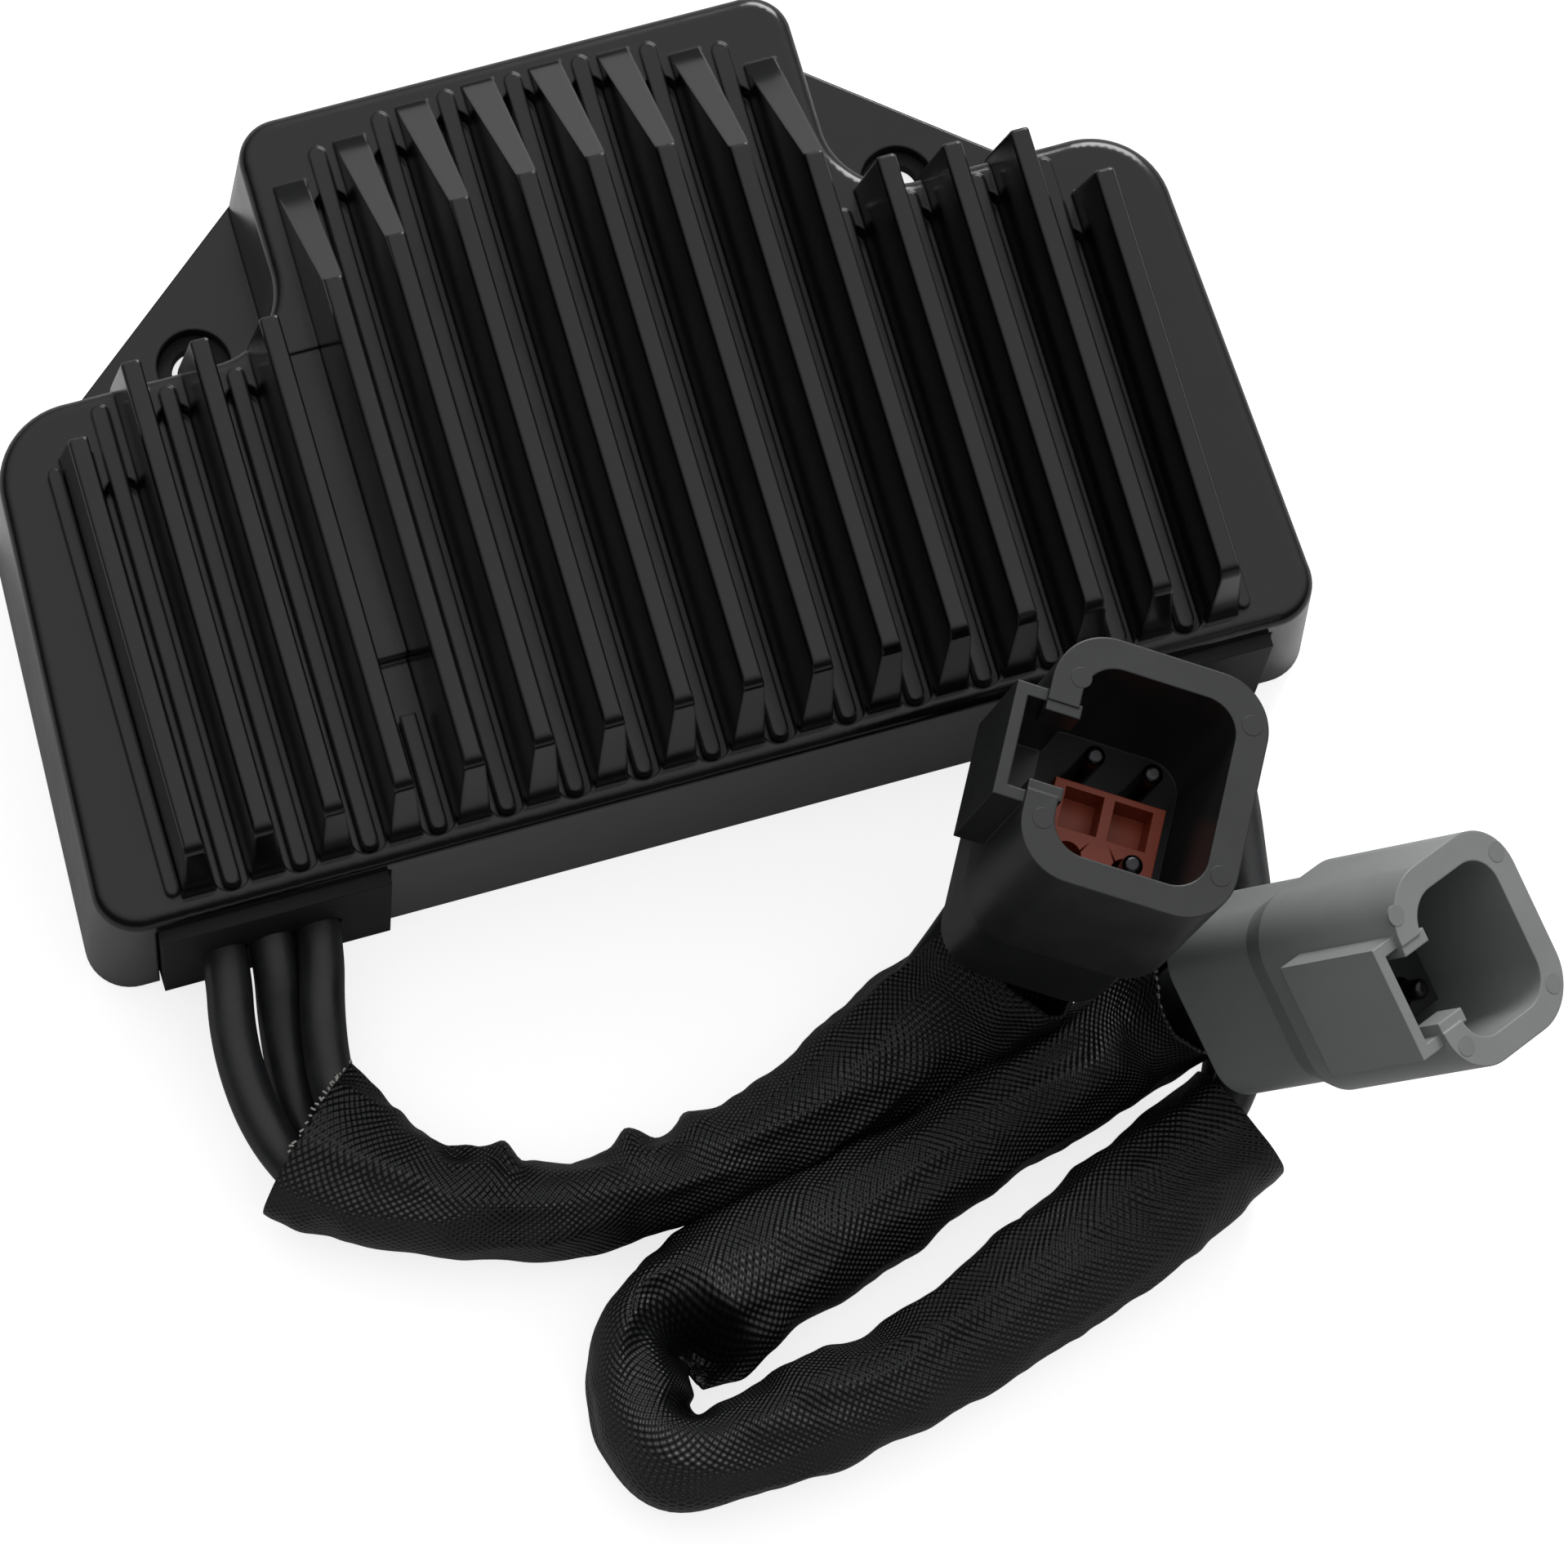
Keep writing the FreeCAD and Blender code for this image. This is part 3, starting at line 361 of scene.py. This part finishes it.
def ejector_marks(name, place, spots, finish):
    """Round witness marks that the ejector pins left on the face, a hair proud of it."""
    made = []
    for x, y in spots:
        deselect_all()
        bpy.ops.mesh.primitive_cylinder_add(vertices=48, radius=MARK_RADIUS * MM, depth=MARK_DEPTH * MM)
        disc = bpy.context.active_object
        bpy.ops.object.mode_set(mode="EDIT")
        bpy.ops.mesh.select_all(action="SELECT")
        bpy.ops.mesh.bevel(offset=MARK_EDGE * MM, segments=2, affect="EDGES")
        bpy.ops.object.mode_set(mode="OBJECT")
        disc.data.transform(Matrix.Translation(Vector((x, y, MARK_CENTRE)) * MM))
        disc.data.transform(place)
        made.append(disc)
    deselect_all()
    for disc in made:
        disc.select_set(True)
    bpy.context.view_layer.objects.active = made[0]
    bpy.ops.object.join()
    thing = bpy.context.active_object
    thing.name = name
    thing.data.materials.clear()
    thing.data.materials.append(finish)
    bpy.ops.object.shade_smooth_by_angle(angle=math.radians(10))
    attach(thing, "root")
    return thing


wedge_lock = short_wedge()
stator_marks = ejector_marks(
    "stator_connector_marks", STATOR_PLACE, STATOR_MARKS, BLACK_WITNESS)
output_marks = ejector_marks(
    "output_connector_marks", OUTPUT_PLACE, OUTPUT_MARKS, GREY_WITNESS)

# Leads: the points of each line, in metres, from inside the housing into the connector

STATOR_LEADS = [
    [(-0.0725, -0.0460, 0.0140), (-0.0725, -0.0575, 0.0140), (-0.0753, -0.0705, 0.0126),
     (-0.0740, -0.0840, 0.0102), (-0.0680, -0.0946, 0.0092), (-0.0584, -0.0996, 0.0086),
     (-0.0440, -0.1060, 0.0082), (-0.0251, -0.1084, 0.0082), (-0.0050, -0.1058, 0.0082),
     (0.0132, -0.0989, 0.0086), (0.0235, -0.0936, 0.0104), (0.0312, -0.0902, 0.0146),
     (0.0380, -0.0906, 0.0234), (0.0405, -0.0905, 0.0341)],
    [(-0.0656, -0.0460, 0.0140), (-0.0656, -0.0575, 0.0140), (-0.0680, -0.0700, 0.0089),
     (-0.0686, -0.0825, 0.0049), (-0.0646, -0.0912, 0.0042), (-0.0568, -0.0956, 0.0040),
     (-0.0426, -0.1009, 0.0040), (-0.0250, -0.1032, 0.0040), (-0.0064, -0.1006, 0.0040),
     (0.0114, -0.0939, 0.0040), (0.0217, -0.0890, 0.0048), (0.0325, -0.0840, 0.0094),
     (0.0447, -0.0787, 0.0218), (0.0472, -0.0786, 0.0325)],
    [(-0.0587, -0.0460, 0.0140), (-0.0587, -0.0575, 0.0140), (-0.0624, -0.0705, 0.0128),
     (-0.0634, -0.0810, 0.0104), (-0.0613, -0.0885, 0.0100), (-0.0568, -0.0937, 0.0104),
     (-0.0432, -0.1018, 0.0110), (-0.0251, -0.1043, 0.0112), (-0.0064, -0.1014, 0.0114),
     (0.0112, -0.0937, 0.0116), (0.0204, -0.0876, 0.0122), (0.0282, -0.0819, 0.0152),
     (0.0375, -0.0744, 0.0234), (0.0400, -0.0743, 0.0341)],
]
OUTPUT_LEADS = [
    [(0.0730, -0.0460, 0.0140), (0.0730, -0.0575, 0.0140), (0.0730, -0.0715, 0.0128),
     (0.0708, -0.0850, 0.0116), (0.0688, -0.0975, 0.0115), (0.0638, -0.1096, 0.0115),
     (0.0545, -0.1204, 0.0115), (0.0380, -0.1276, 0.0115), (0.0200, -0.1340, 0.0115),
     (0.0020, -0.1390, 0.0115), (-0.0160, -0.1430, 0.0108), (-0.0352, -0.1446, 0.0100),
     (-0.0362, -0.1212, 0.0100), (-0.0160, -0.1206, 0.0108), (0.0040, -0.1162, 0.0115),
     (0.0230, -0.1108, 0.0115), (0.0380, -0.1062, 0.0115), (0.0468, -0.1029, 0.0134),
     (0.0576, -0.0978, 0.0191), (0.0640, -0.1005, 0.0290)],
    [(0.0630, -0.0460, 0.0140), (0.0630, -0.0575, 0.0140), (0.0654, -0.0710, 0.0090),
     (0.0664, -0.0845, 0.0050), (0.0652, -0.0965, 0.0047), (0.0616, -0.1086, 0.0047),
     (0.0545, -0.1204, 0.0047), (0.0380, -0.1276, 0.0047), (0.0200, -0.1340, 0.0047),
     (0.0020, -0.1390, 0.0047), (-0.0160, -0.1430, 0.0043), (-0.0352, -0.1446, 0.0037),
     (-0.0362, -0.1212, 0.0037), (-0.0160, -0.1206, 0.0043), (0.0040, -0.1162, 0.0047),
     (0.0230, -0.1108, 0.0047), (0.0380, -0.1062, 0.0047), (0.0502, -0.1030, 0.0056),
     (0.0594, -0.1055, 0.0159), (0.0658, -0.1082, 0.0258)],
]

# The diameter of the leads, in metres
LEAD_DIAMETER = 0.0066


def spline_curve(name, points):
    """A smooth curve of one open spline through the air near these points."""
    data = bpy.data.curves.new(name, "CURVE")
    data.dimensions = "3D"
    data.resolution_u = 16
    spline = data.splines.new("NURBS")
    spline.points.add(len(points) - 1)
    for knot, point in zip(spline.points, points):
        knot.co = (*point, 1.0)
    spline.order_u = 3
    spline.use_endpoint_u = True
    thing = bpy.data.objects.new(name, data)
    bpy.context.scene.collection.objects.link(thing)
    return thing


def lead(node, points):
    """One insulated lead along its spline."""
    thing = spline_curve(node + "_lead", points)
    thing.data.bevel_depth = LEAD_DIAMETER / 2
    thing.data.bevel_resolution = 6
    thing.data.use_fill_caps = True
    thing.data.materials.append(JACKET)
    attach(thing, "root")
    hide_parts(node)
    return thing


def line_of(name, points, step):
    """Evenly spaced points of the spline near these points, as Blender gives them."""
    thing = spline_curve(name, points)
    mesh = bpy.data.meshes.new_from_object(thing)
    found = [v.co.copy() for v in mesh.vertices]
    bpy.data.meshes.remove(mesh)
    bpy.data.objects.remove(thing)
    run = [0.0]
    for before, after in zip(found, found[1:]):
        run.append(run[-1] + (after - before).length)
    count = round(run[-1] / step)
    evenly = []
    here = 0
    for index in range(count + 1):
        goal = run[-1] * index / count
        while here < len(run) - 2 and run[here + 1] < goal:
            here += 1
        share = (goal - run[here]) / (run[here + 1] - run[here])
        evenly.append(found[here].lerp(found[here + 1], share))
    return evenly


# Woven sleeves: limp tubes round the leads, as wide at each place as the cloth lies there

STATOR_SLEEVE = [(-0.0690, -0.0855, 0.0092), (-0.0615, -0.0935, 0.0094), (-0.0540, -0.0986, 0.0094),
                 (-0.0430, -0.1028, 0.0084), (-0.0250, -0.1052, 0.0084), (-0.0060, -0.1026, 0.0084),
                 (0.0120, -0.0958, 0.0084), (0.0225, -0.0910, 0.0090), (0.0300, -0.0878, 0.0128),
                 (0.0345, -0.0862, 0.0178)]
OUTPUT_SLEEVE = [(0.0600, -0.1183, 0.0083), (0.0495, -0.1228, 0.0081), (0.0380, -0.1276, 0.0081),
                 (0.0200, -0.1340, 0.0081), (0.0020, -0.1390, 0.0081), (-0.0140, -0.1419, 0.0081),
                 (-0.0335, -0.1436, 0.0081), (-0.0345, -0.1224, 0.0081), (-0.0160, -0.1212, 0.0081),
                 (0.0040, -0.1162, 0.0081), (0.0230, -0.1108, 0.0081), (0.0380, -0.1062, 0.0081),
                 (0.0481, -0.1029, 0.0096), (0.0545, -0.1020, 0.0145), (0.0578, -0.1022, 0.0190)]

# How far the cloth lies out to the left and to the right of its line, and how high it stands,
# all in millimetres, after so many millimetres along the line
STATOR_GIRTH = [
    (0, 13.4, 11.6, 16.4), (5, 11.6, 11.2, 17.4), (10, 10.0, 9.8, 18.0), (15, 8.6, 8.4, 18.4),
    (20, 7.5, 7.7, 18.0), (25, 8.6, 7.4, 18.6), (30, 10.0, 7.2, 18.8), (33, 5.9, 7.2, 18.8),
    (40, 5.3, 7.2, 19.0), (46, 5.8, 7.2, 19.0), (50, 9.0, 7.2, 19.0), (55, 5.6, 7.2, 18.6),
    (60, 8.2, 7.2, 18.2), (65, 6.4, 7.2, 17.8), (75, 7.1, 8.0, 17.2), (85, 8.4, 9.3, 16.4),
    (95, 8.9, 10.8, 16.2), (105, 8.4, 12.8, 16.0), (116, 8.0, 13.6, 15.0)]
OUTPUT_GIRTH = [
    (0, 9.6, 9.0, 15.0), (10, 10.0, 9.4, 15.6), (20, 10.4, 9.3, 16.0), (30, 10.4, 8.7, 16.0),
    (40, 10.0, 7.9, 16.0), (50, 9.9, 7.3, 16.0), (58, 9.8, 6.2, 15.8), (63, 9.8, 5.6, 15.8),
    (70, 9.7, 6.8, 16.0), (75, 9.6, 6.8, 16.2), (80, 9.4, 5.6, 16.0), (85, 9.0, 5.0, 15.8),
    (90, 8.4, 5.0, 15.8), (95, 9.0, 6.4, 16.0), (100, 8.1, 7.8, 16.2), (105, 7.0, 8.5, 16.2),
    (110, 5.6, 9.0, 16.2), (115, 5.8, 11.5, 16.2), (120, 8.0, 13.0, 16.0), (125, 9.6, 13.2, 16.0),
    (130, 10.2, 11.6, 16.0), (135, 10.2, 10.0, 16.0), (150, 9.4, 9.0, 16.0), (160, 8.6, 8.4, 16.0),
    (180, 8.6, 7.0, 16.0), (190, 9.3, 7.5, 16.0), (204, 9.6, 7.8, 15.6)]

# Hollows and folds of the cloth seen from above: middle, half-lengths, turn in degrees, height
STATOR_FOLDS = [
    (-49.5, -94.0, 2.6, 1.6, -30, -2.4), (-42.5, -98.4, 3.4, 1.2, -50, -1.8),
    (-33.0, -99.6, 4.5, 1.2, -10, -1.6), (-22.0, -99.4, 2.4, 1.4, 20, -1.8),
    (-45.6, -103.4, 4.5, 1.6, -20, 1.2), (-27.5, -106.0, 4.5, 1.5, 0, 1.2),
    (-8.0, -103.5, 9.0, 1.6, 12, 0.8)]
OUTPUT_FOLDS = [
    (-23.2, -130.0, 6.2, 4.0, -50, -12.0), (-27.4, -137.3, 2.6, 1.7, -20, -7.0),
    (-27.0, -118.0, 7.0, 1.6, 12, 1.6), (-18.5, -125.5, 4.0, 1.5, -65, 1.8),
    (-32.5, -124.0, 4.0, 1.6, 60, 1.4),
    (-8.3, -139.6, 4.5, 2.4, -15, 0.9), (-16.6, -143.0, 4.5, 2.6, -10, 0.9)]

# The mesh of a sleeve: millimetres from ring to ring, points on a ring and yarns round it
RING_STEP = 0.7
RING_POINTS = 96
YARNS_AROUND = 48
CLOTH_WALL = 0.6
LOWEST_CLOTH = 0.7


def girth_at(table, along):
    """Left, right and height at a distance along the line, eased between the table's rows."""
    for low, high in zip(table, table[1:]):
        if along <= high[0]:
            break
    share = min(max((along - low[0]) / (high[0] - low[0]), 0.0), 1.0)
    share = share * share * (3 - 2 * share)
    return [a + (b - a) * share for a, b in zip(low[1:], high[1:])]


def cloth_swell(along, side, rise, seed):
    """How far the cloth swells out, in millimetres: slow creases, small puckers, long ridges."""
    crease = noise.noise(Vector((along * 0.16 + seed, side * 0.10, rise * 0.08)))
    pucker = noise.noise(Vector((along * 0.45, side * 0.22 + seed, rise * 0.2)))
    ridge = 1.0 - 2.0 * abs(noise.noise(Vector((along * 0.045 + seed, side * 0.21, rise * 0.12))))
    return crease * 0.7 + pucker * 0.28 + (ridge - 0.6) * 0.9


def fold_height(folds, x, y):
    """How far the folds lift the cloth at this place, or sink it, all in millimetres."""
    lift = 0.0
    for middle_x, middle_y, half_long, half_wide, turn, height in folds:
        dx = x - middle_x
        dy = y - middle_y
        spin = math.radians(turn)
        p = (dx * math.cos(spin) + dy * math.sin(spin)) / half_long
        q = (dy * math.cos(spin) - dx * math.sin(spin)) / half_wide
        lift += height * math.exp(-(p * p + q * q))
    return lift


def ring_of_cloth(middle, ahead, girth, along, folds, seed):
    """One ring of points: a flattened oval that creases, folds and rests on the floor."""
    left = Vector((-ahead.y, ahead.x, 0.0)).normalized()
    up = ahead.cross(left)
    wide_left, wide_right, tall = girth
    ring = []
    for step in range(RING_POINTS):
        angle = 2 * math.pi * step / RING_POINTS
        c = math.cos(angle)
        s = math.sin(angle)
        side = math.copysign(abs(c) ** 0.86, c) * (wide_left if c > 0 else wide_right)
        rise = math.copysign(abs(s) ** 0.9, s) * tall / 2
        place = middle + left * side * MM + up * rise * MM
        give = 0.35 if s < -0.4 else 1.0
        place += (left * c + up * s) * cloth_swell(along, side, rise, seed) * MM * give
        if s > -0.2:
            place.z += fold_height(folds, place.x / MM, place.y / MM) * MM * min(1.0, s + 0.2)
        place.z = max(place.z, LOWEST_CLOTH * MM)
        ring.append(place)
    return ring


def skin(name, rings):
    """A tube through the rings, with the weave laid out along it and round it."""
    mesh = bpy.data.meshes.new(name)
    faces = []
    cloth = []
    for index in range(len(rings) - 1):
        here = index * RING_POINTS
        following = here + RING_POINTS
        near = index * RING_STEP * MM
        far = (index + 1) * RING_STEP * MM
        for step in range(RING_POINTS):
            after = (step + 1) % RING_POINTS
            faces.append((here + step, here + after, following + after, following + step))
            low = step * YARNS_AROUND * YARN_PITCH * MM / RING_POINTS
            high = (step + 1) * YARNS_AROUND * YARN_PITCH * MM / RING_POINTS
            cloth += [(low, near), (high, near), (high, far), (low, far)]
    mesh.from_pydata([place for ring in rings for place in ring], [], faces)
    layer = mesh.uv_layers.new(name="weave")
    for slot, place in zip(layer.data, cloth):
        slot.uv = place
    return mesh


def woven_tube(name, node, points, girths, folds, seed):
    """A sleeve of cloth with a wall, crumpled where the table and the folds say."""
    line = line_of(name + "_line", points, RING_STEP * MM)
    rings = []
    along = 0.0
    for index, middle in enumerate(line):
        before = line[max(index - 1, 0)]
        after = line[min(index + 1, len(line) - 1)]
        if index:
            along += (middle - before).length / MM
        ahead = (after - before).normalized()
        rings.append(ring_of_cloth(middle, ahead, girth_at(girths, along), along, folds, seed))
    mesh = skin(name, rings)
    mesh.materials.append(WEAVE)
    thing = bpy.data.objects.new(name, mesh)
    bpy.context.scene.collection.objects.link(thing)
    select_only(thing)
    bpy.ops.object.mode_set(mode="EDIT")
    bpy.ops.mesh.select_all(action="SELECT")
    bpy.ops.mesh.normals_make_consistent(inside=False)
    bpy.ops.mesh.vertices_smooth(factor=0.5, repeat=2)
    bpy.ops.object.mode_set(mode="OBJECT")
    wall = thing.modifiers.new("wall", "SOLIDIFY")
    wall.thickness = CLOTH_WALL * MM
    wall.offset = -1.0
    bpy.ops.object.modifier_apply(modifier="wall")
    bpy.ops.object.shade_smooth()
    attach(thing, "root")
    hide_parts(node)
    return thing, rings[0]


# The cut ends of the yarn in millimetres, and the share of the mouth that they stand on
THREAD_RADIUS = 0.16
THREAD_STEP = (0.12, 0.34)
THREAD_INSET = 0.35
THREAD_COUNT = 30
FRAYED_SHARE = 0.3


def frayed_threads(name, mouth):
    """Pale ends of cut yarn that stand off the upper edge of the sleeve's mouth."""
    pick = random.Random(5)
    data = bpy.data.curves.new(name, "CURVE")
    data.dimensions = "3D"
    data.bevel_depth = THREAD_RADIUS * MM
    data.bevel_resolution = 2
    data.use_fill_caps = True
    middle = sum(mouth, Vector()) / len(mouth)
    for number in range(THREAD_COUNT):
        root = mouth[round(len(mouth) * FRAYED_SHARE * number / THREAD_COUNT)]
        spline = data.splines.new("NURBS")
        spline.points.add(3)
        place = root - (root - middle).normalized() * THREAD_INSET * MM
        sway = Vector((pick.uniform(-1.2, 0.2), pick.uniform(-0.2, 1.0), pick.uniform(-0.1, 0.7)))
        for knot in spline.points:
            knot.co = (*place, 1.0)
            sway += Vector((pick.uniform(-0.5, 0.5), pick.uniform(-0.5, 0.5), pick.uniform(-0.4, 0.4)))
            place = place + sway.normalized() * pick.uniform(*THREAD_STEP) * MM
        spline.order_u = 3
        spline.use_endpoint_u = True
    data.materials.append(YARN_ENDS)
    thing = bpy.data.objects.new(name, data)
    bpy.context.scene.collection.objects.link(thing)
    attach(thing, "root")
    return thing


def leads_of(side, routes):
    """The leads of one side."""
    for number, points in enumerate(routes, start=1):
        name = f"{side}_cable_{number}"
        thing = lead(name, points)


# The last number of each sleeve starts its creases
stator_sleeve, stator_mouth = woven_tube(
    "stator_sleeve_cloth", "stator_sleeve", STATOR_SLEEVE, STATOR_GIRTH, STATOR_FOLDS, 3.1)
output_sleeve, _ = woven_tube(
    "output_sleeve_cloth", "output_sleeve", OUTPUT_SLEEVE, OUTPUT_GIRTH, OUTPUT_FOLDS, 8.7)
mouth_threads = frayed_threads("stator_sleeve_threads", stator_mouth)
leads_of("stator", STATOR_LEADS)
leads_of("output", OUTPUT_LEADS)

# Floor and light: what lifts the floor to white for the camera alone, how bright the white room
# is low down and where it is brightest, and the soft box, in metres and watts
FLOOR_LIFT = 0.78
FLOOR_DROP = 0.0002
ROOM_LOW = 0.08
ROOM_HIGH = 0.92
ROOM_BRIGHTEST = (0.22, 0.42, 0.88)
BOX_PLACE = (0.55, 0.85, 0.55)
BOX_AIM = (0.0, -0.03, 0.03)
BOX_SIZE = 0.6
BOX_POWER = 12.0


def pale_floor():
    """A plain white sweep that keeps the part's shadow."""
    deselect_all()
    bpy.ops.mesh.primitive_plane_add(size=6.0, location=(0, 0, -FLOOR_DROP))
    floor = bpy.context.active_object
    floor.name = "floor"
    made, tree, shader = finish_of("white_paper_sweep", "#c8c8c8", 0.9, **{"Specular IOR Level": 0.1})
    path = add_node(tree, "ShaderNodeLightPath")
    seen = figure(tree, "MAXIMUM", path.outputs["Is Camera Ray"], path.outputs["Is Transmission Ray"])
    tree.links.new(figure(tree, "MULTIPLY", seen, FLOOR_LIFT), shader.inputs["Emission Strength"])
    shader.inputs["Emission Color"].default_value = (1, 1, 1, 1)
    floor.data.materials.append(made)


def area_light(name, place, aim, size, power):
    """A soft box that looks at a point."""
    data = bpy.data.lights.new(name, "AREA")
    data.shape = "SQUARE"
    data.size = size
    data.energy = power
    lamp = bpy.data.objects.new(name, data)
    lamp.location = place
    lamp.rotation_euler = (Vector(aim) - Vector(place)).to_track_quat("-Z", "Y").to_euler()
    bpy.context.scene.collection.objects.link(lamp)


def studio():
    """A bright white room and one large soft box behind the right shoulder of the part."""
    world = bpy.data.worlds.new("white_room")
    world.use_nodes = True
    tree = world.node_tree
    tree.nodes.clear()
    sky = add_node(tree, "ShaderNodeTexCoord")
    rays = {0: sky.outputs["Generated"], 1: ROOM_BRIGHTEST}
    toward = add_node(tree, "ShaderNodeVectorMath", {"operation": "DOT_PRODUCT"}, rays)
    glow = remap(tree, toward.outputs["Value"], 0.15, 0.95, ROOM_LOW, ROOM_HIGH, "SMOOTHSTEP")
    room = add_node(tree, "ShaderNodeBackground", {}, {"Color": (1, 1, 1, 1), "Strength": glow})
    white = add_node(tree, "ShaderNodeBackground", {}, {"Color": (1, 1, 1, 1), "Strength": 1.0})
    path = add_node(tree, "ShaderNodeLightPath")
    parts = {0: path.outputs["Is Camera Ray"], 1: room.outputs[0], 2: white.outputs[0]}
    both = add_node(tree, "ShaderNodeMixShader", {}, parts)
    add_node(tree, "ShaderNodeOutputWorld", {}, {"Surface": both.outputs[0]})
    bpy.context.scene.world = world
    area_light("soft_box", BOX_PLACE, BOX_AIM, BOX_SIZE, BOX_POWER)


pale_floor()
studio()
bpy.context.scene.view_settings.view_transform = "Standard"
